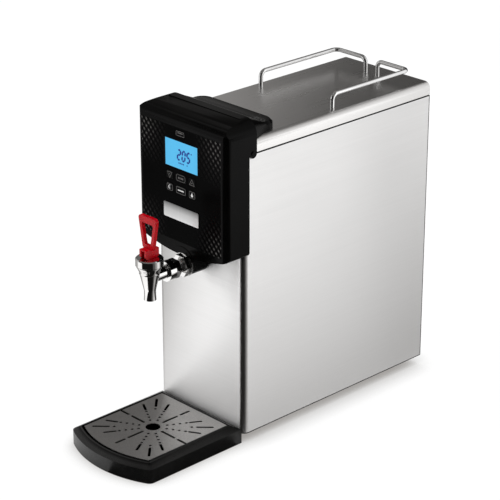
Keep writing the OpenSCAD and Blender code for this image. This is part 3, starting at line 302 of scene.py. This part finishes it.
DULL = {"Specular_IOR_Level": 0.05}
LOOKS = {
    # body_steel: painted shade, a thin dark line along the wrap's back, lower and upper edges
    "body_steel": brushed("body_steel", grey(0.88, 0.006), grey(0.91, 0.006), (0.34, 0.40), stretch=1.0,
                          dark=wrap_edge_painted_shade),
    "lid_steel": lid_with_painted_seam_shade(),
    "case_steel": brushed("case_steel", grey(0.58, 0.01), grey(0.68, 0.01), (0.32, 0.45), (40, 40, 40)),
    "rail_chrome": polished("rail_chrome", grey(0.84), grey(0.92), (0.05, 0.12)),
    "fastener_steel": polished("fastener_steel", grey(0.52), grey(0.64), (0.22, 0.38), 300.0),
    "foot_rubber": moulded("foot_rubber", grey(0.018), grey(0.03), (0.75, 0.9), 900.0, 0.3, **DULL),
    "head_black": moulded("head_black", grey(0.0008, 0.05), grey(0.0014, 0.05), (0.15, 0.19), bump=0.03, **DULL),
    "black_screw": moulded("black_screw", grey(0.002), grey(0.003), (0.3, 0.4), 700.0, 0.03, **DULL),
    "overlay_black": overlay_film(),
    "lcd_glass": lit_window(),
    "lcd_unit": moulded("lcd_unit", (0.1, 0.3, 0.42), (0.14, 0.36, 0.5), (0.4, 0.5)),
    "key_black": moulded("key_black", grey(0.0015), grey(0.0025), (0.36, 0.46), Specular_IOR_Level=0.03),
    "board_green": circuit(),
    "part_black": moulded("part_black", grey(0.018), grey(0.03), (0.45, 0.6)),
    "badge_metal": badge_with_painted_reflection(),
    "sleeve_black": moulded("sleeve_black", grey(0.005), grey(0.008), (0.2, 0.28), 600.0, 0.03, **DULL),
    "faucet_chrome": polished("faucet_chrome", grey(0.68, 0.01), grey(0.78, 0.01), (0.05, 0.10)),
    "inner_steel": brushed("inner_steel", grey(0.60), grey(0.70), (0.28, 0.42)),
    "silicone": moulded("silicone", (0.64, 0.62, 0.57), (0.72, 0.70, 0.65), (0.5, 0.65), Subsurface_Weight=0.1),
    "handle_red": moulded("handle_red", (0.37, 0.0008, 0.005), (0.44, 0.0015, 0.008), (0.18, 0.22), 160.0, 0.01,
                          Specular_IOR_Level=0.12, Coat_Weight=0.1, Coat_Roughness=0.08),
    "jacket_felt": felt(),
    "element_sheath": polished("element_sheath", grey(0.22), grey(0.34), (0.4, 0.6), 200.0),
    "valve_white": moulded("valve_white", grey(0.66, 0.02), grey(0.75, 0.02), (0.4, 0.5)),
    "inlet_brass": polished("inlet_brass", (0.62, 0.44, 0.16), (0.74, 0.55, 0.24), (0.2, 0.34), 200.0),
    "gland_black": moulded("gland_black", grey(0.015), grey(0.025), (0.45, 0.6)),
    "transformer_iron": laminated(),
    "tray_black": tray_with_painted_well_shade("tray_black", grey(0.004, 0.03), grey(0.007, 0.03), (0.26, 0.34), 0.4),
    # grate_steel: painted shade, a dark band along the grate's sides and back
    "grate_steel": brushed("grate_steel", grey(0.46, 0.02), grey(0.60, 0.02), (0.34, 0.46), (700, 700, 700), 0.06,
                           dark=grate_edge_painted_shade),
}


def ink(name, colour, glow=0.0):
    """Printing ink with a slightly uneven tone."""
    m = Look(name, Emission_Strength=glow, Specular_IOR_Level=0.2)
    tone = m.noise(m.coords(), 2500.0, 2.0)
    shade = m.tones(tone, tuple(0.85 * c for c in colour), colour)
    m.set(Base_Color=shade).roughness(tone, (0.45, 0.55))
    if glow:
        m.set(Emission_Color=shade)
    return m.mat


INK_GREY = ink("ink_grey", grey(0.13, 0.03))
INK_WHITE = ink("ink_white", grey(0.75))
INK_BLUE = ink("ink_blue", (0.004, 0.02, 0.2), 0.3)


# CAD nodes: joined vertices, smooth shading up to an angle, and small edge rounds
def tidy_group():
    group = bpy.data.node_groups.new("tidy_edges", "GeometryNodeTree")
    group.interface.new_socket("Geometry", in_out="INPUT", socket_type="NodeSocketGeometry")
    group.interface.new_socket("Geometry", in_out="OUTPUT", socket_type="NodeSocketGeometry")
    new, link = group.nodes.new, group.links.new
    start, end = new("NodeGroupInput"), new("NodeGroupOutput")
    merge, smooth = new("GeometryNodeMergeByDistance"), new("GeometryNodeSetShadeSmooth")
    normal, angle = new("GeometryNodeSetMeshNormal"), new("GeometryNodeInputMeshEdgeAngle")
    over = new("FunctionNodeCompare")
    merge.inputs["Distance"].default_value = 0.002 * MM
    normal.mode = "SHARPNESS"
    normal.inputs["Remove Custom"].default_value = True
    over.data_type, over.operation = "FLOAT", "GREATER_THAN"
    over.inputs[1].default_value = math.radians(EDGE_ANGLE)
    link(start.outputs[0], merge.inputs[0])
    link(merge.outputs[0], smooth.inputs[0])
    link(smooth.outputs[0], normal.inputs[0])
    link(angle.outputs[0], over.inputs[0])
    link(over.outputs[0], normal.inputs["Edge Sharpness"])
    link(normal.outputs[0], end.inputs[0])
    return group


TIDY = tidy_group()
ROUNDS = {"handle": 1.8, "drip_tray": 0.5, "badge_plate": 0.3, "shank_nut": 0.5, "coupling_nut": 0.5,
          "shank_washer": 0.4, "lid": 0.25, "head_shell": 0.4, "faucet_body": 0.3, "faucet_bonnet": 0.3}
for name, node in NODES.items():
    node.data.materials.clear()
    node.data.materials.append(LOOKS[SLOT_OF[name]])
    node.modifiers.new("tidy", "NODES").node_group = TIDY
    if name in ROUNDS:
        bevel = node.modifiers.new("round", "BEVEL")
        bevel.width = ROUNDS[name] * MM
        bevel.segments = 3
        bevel.limit_method = "ANGLE"
        bevel.angle_limit = math.radians(EDGE_ANGLE)
        bevel.harden_normals = True


# Small pieces, drawn in millimetres
def finish_piece(bm, name, material, body="body", smooth=EDGE_ANGLE):
    bmesh.ops.remove_doubles(bm, verts=bm.verts, dist=0.0001 * MM)
    bmesh.ops.recalc_face_normals(bm, faces=bm.faces)
    mesh = bpy.data.meshes.new(name)
    bm.to_mesh(mesh)
    bm.free()
    mesh.materials.append(material)
    for face in mesh.polygons:
        face.use_smooth = True
    mesh.set_sharp_from_angle(angle=math.radians(smooth))
    obj = bpy.data.objects.new(name, mesh)
    scene.collection.objects.link(obj)
    if body:
        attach(obj, body)
    return obj


def points(bm, places):
    return [bm.verts.new((x * MM, y * MM, z * MM)) for x, y, z in places]


def join_rows(bm, rows):
    """Faces between each closed row of points and the next."""
    for a, b in zip(rows, rows[1:]):
        for i in range(len(a)):
            j = (i + 1) % len(a)
            bm.faces.new((a[i], a[j], b[j], b[i]))


def turns(count):
    """Evenly spread angles of one full turn."""
    return [2 * math.pi * k / count for k in range(count)]


def arc(cx, cz, r, start, sweep, count):
    """Points on a circle in X and Z, from start through sweep in degrees, both ends included."""
    angles = [math.radians(start + sweep * k / (count - 1)) for k in range(count)]
    return [(cx + r * math.cos(a), cz + r * math.sin(a)) for a in angles]


def rounded(w, h, r, cx=0.0, cz=0.0, steps=6):
    """A rounded rectangle in X and Z."""
    out = []
    for k, (sx, sz) in enumerate(((1, 1), (-1, 1), (-1, -1), (1, -1))):
        for i in range(steps + 1):
            a = math.pi / 2 * (k + i / steps)
            out.append((cx + sx * (w / 2 - r) + r * math.cos(a), cz + sz * (h / 2 - r) + r * math.sin(a)))
    return out


def inset(loop, d):
    """The same loop moved in by d, corner by corner, for a counter-clockwise loop."""
    sharpest = 0.35
    out = []
    for i, p in enumerate(loop):
        before, here, after = Vector(loop[i - 1]), Vector(p), Vector(loop[(i + 1) % len(loop)])
        e1, e2 = (here - before).normalized(), (after - here).normalized()
        n1, n2 = Vector((-e1.y, e1.x)), Vector((-e2.y, e2.x))
        bisector = (n1 + n2).normalized()
        out.append(tuple(here + bisector * (d / max(sharpest, bisector.dot(n1)))))
    return out


def plate(bm, loop, y0, y1):
    """A filled loop in X and Z between two Y values."""
    rows = [points(bm, [(x, y, z) for x, z in loop]) for y in (y0, y1)]
    bm.faces.new(rows[0])
    bm.faces.new(rows[1][::-1])
    join_rows(bm, rows)


def outline(bm, loop, width, y0, y1):
    """A band of a given width inside a loop, between two Y values."""
    outer0, outer1, inner0, inner1 = [points(bm, [(x, y, z) for x, z in edge])
                                      for edge in (loop, inset(loop, width)) for y in (y0, y1)]
    join_rows(bm, [outer0, outer1, inner1, inner0, outer0])


# Display: seven-segment figures, a degree mark and a row of small bars
LEAN = 0.10
LIT = {"2": "abged", "0": "abcdef", "5": "afgcd"}
FIGURE_W, FIGURE_H, STROKE, STROKE_GAP = 5.6, 14.5, 2.9, 0.25


def figure(bm, digit, cx, cz, y0, y1):
    half_w, half_h, t = FIGURE_W / 2, FIGURE_H / 2, STROKE / 2
    flat = {"a": half_h, "g": 0.0, "d": -half_h}
    tall = {"b": (half_w, half_h / 2), "c": (half_w, -half_h / 2),
            "e": (-half_w, -half_h / 2), "f": (-half_w, half_h / 2)}
    for s in LIT[digit]:
        if s in flat:
            x0, x1, z = -half_w + STROKE_GAP, half_w - STROKE_GAP, flat[s]
            loop = [(x0, z), (x0 + t, z - t), (x1 - t, z - t), (x1, z), (x1 - t, z + t), (x0 + t, z + t)]
        else:
            x, z = tall[s]
            z0, z1 = z - half_h / 2 + STROKE_GAP, z + half_h / 2 - STROKE_GAP
            loop = [(x, z0), (x + t, z0 + t), (x + t, z1 - t), (x, z1), (x - t, z1 - t), (x - t, z0 + t)]
        plate(bm, [(cx + px + LEAN * pz, cz + pz) for px, pz in loop], y0, y1)


def display_figures():
    low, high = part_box("lcd_window")
    glass_y, mid_z = low.y / MM, (low.z + high.z) / 2 / MM
    y0, y1 = glass_y - 0.06, glass_y + 0.02
    bars_z = mid_z - 11.6
    bm = bmesh.new()
    for digit, x in zip("205", (-3.4, 6.1, 15.6)):
        figure(bm, digit, x, mid_z + 0.5, y0, y1)
    plate(bm, arc(21.9, mid_z + 7.4, 1.1, 0, 330, 12), y0, y1)
    for x in (-3.6, -0.6, 2.4, 5.4):
        plate(bm, rounded(2.2, 1.9, 0.3, x, bars_z), y0, y1)
    plate(bm, rounded(1.5, 2.2, 0.3, 13.0, bars_z), y0, y1)
    finish_piece(bm, "display_figures", INK_BLUE)


display_figures()


# Keys: printed outlines and signs, each on its own cap
KEY_FLANGE = 1.0
KEY_EDGE = 1.2


def key_sign(name, grey_part, white_part=None):
    low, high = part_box(name)
    cx, cz = (low.x + high.x) / 2 / MM, (low.z + high.z) / 2 / MM
    w, h = (high.x - low.x) / MM - 2 * KEY_FLANGE, (high.z - low.z) / MM - 2 * KEY_FLANGE
    y0, y1 = low.y / MM - 0.05, low.y / MM + 0.02
    for suffix, make, colour in (("outline", grey_part, INK_GREY), ("sign", white_part, INK_WHITE)):
        if make:
            bm = bmesh.new()
            make(bm, cx, cz, w, h, y0, y1)
            finish_piece(bm, f"{name}_{suffix}", colour, name)


def box_outline(bm, cx, cz, w, h, y0, y1):
    outline(bm, rounded(w - KEY_EDGE, h - KEY_EDGE, 1.6, cx, cz), 0.55, y0, y1)


def power_outline(bm, cx, cz, w, h, y0, y1):
    box_outline(bm, cx, cz, w, h, y0, y1)
    plate(bm, rounded(w * 0.55, 1.1, 0.5, cx, cz + 0.9), y0, y1)


def program_outline(bm, cx, cz, w, h, y0, y1):
    outline(bm, rounded(w - KEY_EDGE, h - KEY_EDGE, 3.6, cx, cz), 0.5, y0, y1)
    for k in range(4):
        plate(bm, rounded(1.7, 2.6, 0.5, cx - 4.2 + 2.8 * k, cz), y0, y1)


def triangle(s):
    """An arrow outline with a dot in it, up for s = 1 and down for s = -1."""
    def make(bm, cx, cz, w, h, y0, y1):
        loop = [(cx - s * 5.4, cz - s * 4.2), (cx + s * 5.4, cz - s * 4.2), (cx, cz + s * 5.4)]
        outline(bm, loop, 0.6, y0, y1)
        plate(bm, rounded(1.6, 1.6, 0.7, cx, cz - s * 0.9), y0, y1)
    return make


def dash(bm, cx, cz, w, h, y0, y1):
    plate(bm, rounded(w * 0.62, 1.6, 0.7, cx, cz), y0, y1)


def crescent(bm, cx, cz, w, h, y0, y1):
    plate(bm, arc(cx, cz, 3.0, 60, 240, 17) + arc(cx + 1.5, cz, 2.7, 285, -210, 17), y0, y1)


def drop(bm, cx, cz, w, h, y0, y1):
    plate(bm, arc(cx, cz - 0.9, 2.1, 150, 240, 17) + [(cx, cz + 3.6)], y0, y1)


key_sign("key_power", power_outline)
key_sign("key_down", triangle(-1))
key_sign("key_program", program_outline)
key_sign("key_up", triangle(1))
key_sign("key_left", box_outline, crescent)
key_sign("key_start", box_outline, dash)
key_sign("key_right", box_outline, drop)


# Faucet: thread ridges on the bare length of the shank, between its two nuts
def shank_thread(pitch=1.4, depth=0.55, root=0.02, end_gap=0.2):
    low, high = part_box("faucet_shank")
    r, z = (high.z - low.z) / 2 / MM, (low.z + high.z) / 2 / MM
    y0, y1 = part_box("coupling_nut")[1].y / MM + end_gap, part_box("shank_nut")[0].y / MM - end_gap
    steps = 2 * int((y1 - y0) / pitch)
    bm = bmesh.new()
    rows = []
    for i in range(steps + 1):
        y, out = y0 + (y1 - y0) * i / steps, r + (depth if i % 2 else root)
        rows.append(points(bm, [(out * math.cos(t), y, z + out * math.sin(t)) for t in turns(40)]))
    join_rows(bm, rows)
    finish_piece(bm, "shank_thread", LOOKS["faucet_chrome"], smooth=20)


# Faucet spring: round wire in place of the spring part, its top held by the bonnet and its foot on the seat cup
def coil_spring(coils=5, wire=0.6, per_coil=24, around=10):
    low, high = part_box("faucet_spring")
    y, r = (low.y + high.y) / 2 / MM, high.x / MM - wire
    z0, z1 = low.z / MM + wire, high.z / MM - wire
    steps = coils * per_coil
    bm = bmesh.new()
    rows = []
    for i in range(steps + 1):
        t, z = 2 * math.pi * i / per_coil, z0 + (z1 - z0) * i / steps
        section = [(r + wire * math.cos(a), z + wire * math.sin(a)) for a in turns(around)]
        rows.append(points(bm, [(out * math.cos(t), y + out * math.sin(t), up) for out, up in section]))
    join_rows(bm, rows)
    bm.faces.new(rows[0])
    bm.faces.new(rows[-1])
    spring = finish_piece(bm, "coil_spring", LOOKS["inner_steel"], None)
    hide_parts("faucet_spring")
    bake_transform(spring)


# Handle: the yoke's closed sides over the ends of the pin
def yoke_cap(name, side):
    low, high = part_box("handle_pin")
    x, y, z = high.x * side / MM, (low.y + high.y) / 2 / MM, (low.z + high.z) / 2 / MM
    profile = ((2.9, -0.3), (2.9, 0.05), (2.6, 0.22), (1.6, 0.30))  # radius, and how far out
    bm = bmesh.new()
    rows = [points(bm, [(x + side * out, y + r * math.cos(t), z + r * math.sin(t)) for t in turns(28)])
            for r, out in profile]
    join_rows(bm, rows)
    bm.faces.new(rows[-1])
    bm.faces.new(rows[0][::-1])
    finish_piece(bm, name, LOOKS["handle_red"], "handle", smooth=50)


shank_thread()
coil_spring()
yoke_cap("yoke_cap_left", -1)
yoke_cap("yoke_cap_right", 1)


# Stage
ROOM_R, ROOM_H = 2.6, 2.6
OVERHEAD = 2.5
UP, AHEAD, RIGHT = (0, 0, 1), (0, -1, 0), (1, 0, 0)


def stage_material(name):
    m = bpy.data.materials.new(name)
    m.use_nodes = True
    m.node_tree.nodes.clear()
    return m, m.node_tree.nodes.new, m.node_tree.links.new


def emitter(name, direction, span, stops):
    """Light that changes along one direction: stops are (place in the span, level). Dim levels are a little warm."""
    m, new, link = stage_material(name)
    out, glow = new("ShaderNodeOutputMaterial"), new("ShaderNodeEmission")
    at, along = new("ShaderNodeTexCoord"), new("ShaderNodeVectorMath")
    place, ramp = new("ShaderNodeMapRange"), new("ShaderNodeValToRGB")
    along.operation = "DOT_PRODUCT"
    along.inputs[1].default_value = direction
    place.inputs["From Min"].default_value, place.inputs["From Max"].default_value = span
    while len(ramp.color_ramp.elements) < len(stops):
        ramp.color_ramp.elements.new(0.5)
    for element, (where, level) in zip(ramp.color_ramp.elements, stops):
        warm = 0.03 * max(0, 1 - level)
        element.position = where
        element.color = (level, level * (1 - warm), level * (1 - 2 * warm), 1)
    link(at.outputs["Object"], along.inputs[0])
    link(along.outputs["Value"], place.inputs["Value"])
    link(place.outputs[0], ramp.inputs[0])
    link(ramp.outputs[0], glow.inputs["Color"])
    link(glow.outputs[0], out.inputs[0])
    return m


def background_rays(new, link):
    """1 for camera, glossy and transmission rays, which are to see the pale background, and the ray node itself."""
    path, seen, either = new("ShaderNodeLightPath"), new("ShaderNodeMath"), new("ShaderNodeMath")
    seen.operation = either.operation = "MAXIMUM"
    link(path.outputs["Is Camera Ray"], seen.inputs[0])
    link(path.outputs["Is Glossy Ray"], seen.inputs[1])
    link(seen.outputs[0], either.inputs[0])
    link(path.outputs["Is Transmission Ray"], either.inputs[1])
    return either.outputs[0], path


def floor_material():
    """White table that darkens close to what stands on it, in the picture and, wider, in mirrored views of it."""
    m, new, link = stage_material("floor")
    out, mix, share = new("ShaderNodeOutputMaterial"), new("ShaderNodeMixShader"), new("ShaderNodeMath")
    flat, glow, shade = new("ShaderNodeBsdfDiffuse"), new("ShaderNodeEmission"), new("ShaderNodeMix")
    rays, path = background_rays(new, link)
    flat.inputs["Color"].default_value = (0.97, 0.97, 0.97, 1)
    glow.inputs["Strength"].default_value = 1.04
    share.operation = "MULTIPLY"
    share.inputs[1].default_value = 0.95
    shade.data_type = "RGBA"
    seen, mirrored = (6, 0.05, (0.30, 0.285, 0.27)), (7, 0.60, (0.03, 0.02, 0.012))
    for socket, reach, dark in (seen, mirrored):
        near, ramp = new("ShaderNodeAmbientOcclusion"), new("ShaderNodeValToRGB")
        near.inputs["Distance"].default_value = reach
        near.samples = 8
        ramp.color_ramp.elements[0].color = (*dark, 1)
        ramp.color_ramp.elements[0].position = 0.1
        ramp.color_ramp.elements[1].position = 0.92
        link(near.outputs["AO"], ramp.inputs[0])
        link(ramp.outputs[0], shade.inputs[socket])
    link(path.outputs["Is Glossy Ray"], shade.inputs[0])
    link(shade.outputs[2], glow.inputs["Color"])
    link(rays, share.inputs[0])
    link(share.outputs[0], mix.inputs[0])
    link(flat.outputs[0], mix.inputs[1])
    link(glow.outputs[0], mix.inputs[2])
    link(mix.outputs[0], out.inputs[0])
    return m


def sheet(name, corners, faces, material, glossy_only=True):
    mesh = bpy.data.meshes.new(name)
    mesh.from_pydata(corners, [], faces)
    mesh.materials.append(material)
    obj = bpy.data.objects.new(name, mesh)
    scene.collection.objects.link(obj)
    if glossy_only:
        obj.visible_camera = obj.visible_diffuse = obj.visible_shadow = obj.visible_transmission = False


def card(name, corners, direction, span, stops):
    """A light or flag that only glossy surfaces see."""
    sheet(name, corners, [tuple(range(len(corners)))], emitter(name, direction, span, stops))


def even(level):
    """Direction, span and stops of a card that is alike all over."""
    return UP, (0, 1), ((0.0, level), (1.0, level))


def polar(radius, azimuth, z, centre=(0.09, -0.10)):
    """A point round the body's front right corner. Azimuth 0 is straight ahead of the front, 90 to the right."""
    a = math.radians(azimuth)
    return (centre[0] + radius * math.sin(a), centre[1] - radius * math.cos(a), z)


def level_card(corners, z):
    return [(x, y, z) for x, y in corners]


def upright_card(a, b, z0, z1):
    return [(*a, z0), (*b, z0), (*b, z1), (*a, z1)]


def sector(start, end, level, upper, floor, steps=8):
    """The wall between two azimuths: level low down, upper above, with its share of the floor where that is dark."""
    arc_of = [start + (end - start) * i / steps for i in range(steps + 1)]
    rows = [(ROOM_R, 0.0), (ROOM_R, ROOM_H)]
    if floor:
        rows += [(0.01, 0.5 * MM), (ROOM_R, 0.5 * MM)]
    corners = [polar(r, a, z) for r, z in rows for a in arc_of]
    count = len(arc_of)
    faces = [(k + i, k + i + 1, k + i + 1 + count, k + i + count)
             for k in range(0, len(corners), 2 * count) for i in range(steps)]
    name = f"room_{int(start) % 360}"
    stops = ((0.0, level), (0.46, level), (0.72, upper), (1.0, upper))
    sheet(name, corners, faces, emitter(name, UP, (0, ROOM_H), stops))


sheet("floor", level_card([(-6, -6), (6, -6), (6, 6), (-6, 6)], -0.5 * MM), [(0, 1, 2, 3)], floor_material(), False)

# The room: pale walls, a tall black flag and dark floor ahead of the front right corner, fading out to the right
for start, end, level, upper, floor in (
        (-98, -20, 1.3, 0.03, False), (-20, 66, 0.008, 0.008, True), (66, 84, 0.10, 0.10, True),
        (84, 100, 0.30, 0.22, True), (100, 114, 0.6, 0.22, True), (114, 190, 1.4, 0.8, False),
        (190, 234, 0.55, 0.22, False), (234, 262, 1.1, 0.22, False)):
    sector(start, end, level, upper, floor)
card("ceiling", [polar(2.7, a, ROOM_H) for a in range(0, 360, 15)], *even(0.16))

# What the front, the right side and the lid mirror in the photo's view
card("flag_left", upright_card((-0.46, -0.04), (-0.46, -0.47), 0.0, 0.9),
     AHEAD, (0.04, 0.47), ((0.0, 0.30), (1.0, 0.6)))
card("flag_right", upright_card((0.12, 0.76), (0.72, 0.76), 0.0, 1.0),
     RIGHT, (0.12, 0.72), ((0.0, 0.8), (1.0, 1.0)))
card("flag_side", level_card([(0.10, -0.09), (1.67, 0.54), (1.67, 2.0), (0.10, 2.0)], 0.8 * MM),
     (1, -0.35, 0), (0.0, 0.9), ((0.1, 0.26), (0.21, 0.30), (0.39, 0.68), (0.67, 1.25), (0.83, 1.5)))
card("table_front", level_card([(-0.16, -0.30), (-0.40, -0.04), (-2.0, -1.2), (-1.0, -2.2), (0.10, -0.45)], 0.8 * MM),
     (0.68, -0.73, 0), (-0.06, 0.12), ((0.0, 0.38), (0.5, 0.85), (0.8, 1.3), (1.0, 1.3)))
card("softbox_back",
     [polar(r, a, OVERHEAD) for r, a in ((1.3, 118), (2.55, 118), (2.55, 153), (2.55, 188), (1.3, 188))],
     RIGHT, (-0.15, 2.3), ((0.0, 0.3), (0.5, 0.65), (1.0, 0.9)))
card("softbox_left", [polar(r, a, OVERHEAD) for r, a in ((1.8, -104), (2.5, -104), (2.5, -80), (1.8, -80))],
     *even(0.7))
card("flag_back", upright_card((-1.35, -0.11), (0.17, 1.5), 0.02, 1.15), (0.69, 0.73, 0), (-0.30, 0.50),
     ((0.0, 0.09), (0.14, 0.16), (0.28, 0.33), (0.42, 0.20), (0.62, 0.08), (1.0, 0.035)))


def lamp(name, place, target, size, power):
    data = bpy.data.lights.new(name, "AREA")
    data.shape = "RECTANGLE"
    data.size, data.size_y = size
    data.energy = power
    obj = bpy.data.objects.new(name, data)
    scene.collection.objects.link(obj)
    obj.location = place
    obj.rotation_euler = (Vector(target) - Vector(place)).to_track_quat("-Z", "Y").to_euler()
    obj.visible_glossy = False


lamp("key", (-1.3, -1.5, 2.2), (0, -0.05, 0.25), (1.2, 1.2), 42)
lamp("fill", (2.2, -0.6, 1.6), (0, 0, 0.25), (1.0, 1.4), 16)
lamp("top", (0.2, 0.5, 2.6), (0, 0, 0.3), (1.6, 1.6), 22)
card("softbox", [(-1.75, -1.2, 2.55), (-1.2, -1.75, 2.55), (-0.85, -1.4, 1.85), (-1.4, -0.85, 1.85)], *even(0.2))


def studio_world():
    """White to the rays that see the background, dimmer as light on the object."""
    world = bpy.data.worlds.new("studio")
    world.use_nodes = True
    new, link = world.node_tree.nodes.new, world.node_tree.links.new
    back, level = world.node_tree.nodes["Background"], new("ShaderNodeMapRange")
    back.inputs["Color"].default_value = (1, 1, 1, 1)
    level.inputs["To Min"].default_value, level.inputs["To Max"].default_value = 0.45, 1.0
    link(background_rays(new, link)[0], level.inputs["Value"])
    link(level.outputs[0], back.inputs["Strength"])
    return world


scene.world = studio_world()

camera = bpy.data.objects.new("camera", bpy.data.cameras.new("camera"))
scene.collection.objects.link(camera)
camera.location = (1.9405, -1.8635, 1.3908)
camera.rotation_euler = (math.radians(66.97), 0, math.radians(46.2))
camera.data.lens = 144
camera.data.sensor_width = 36
scene.camera = camera
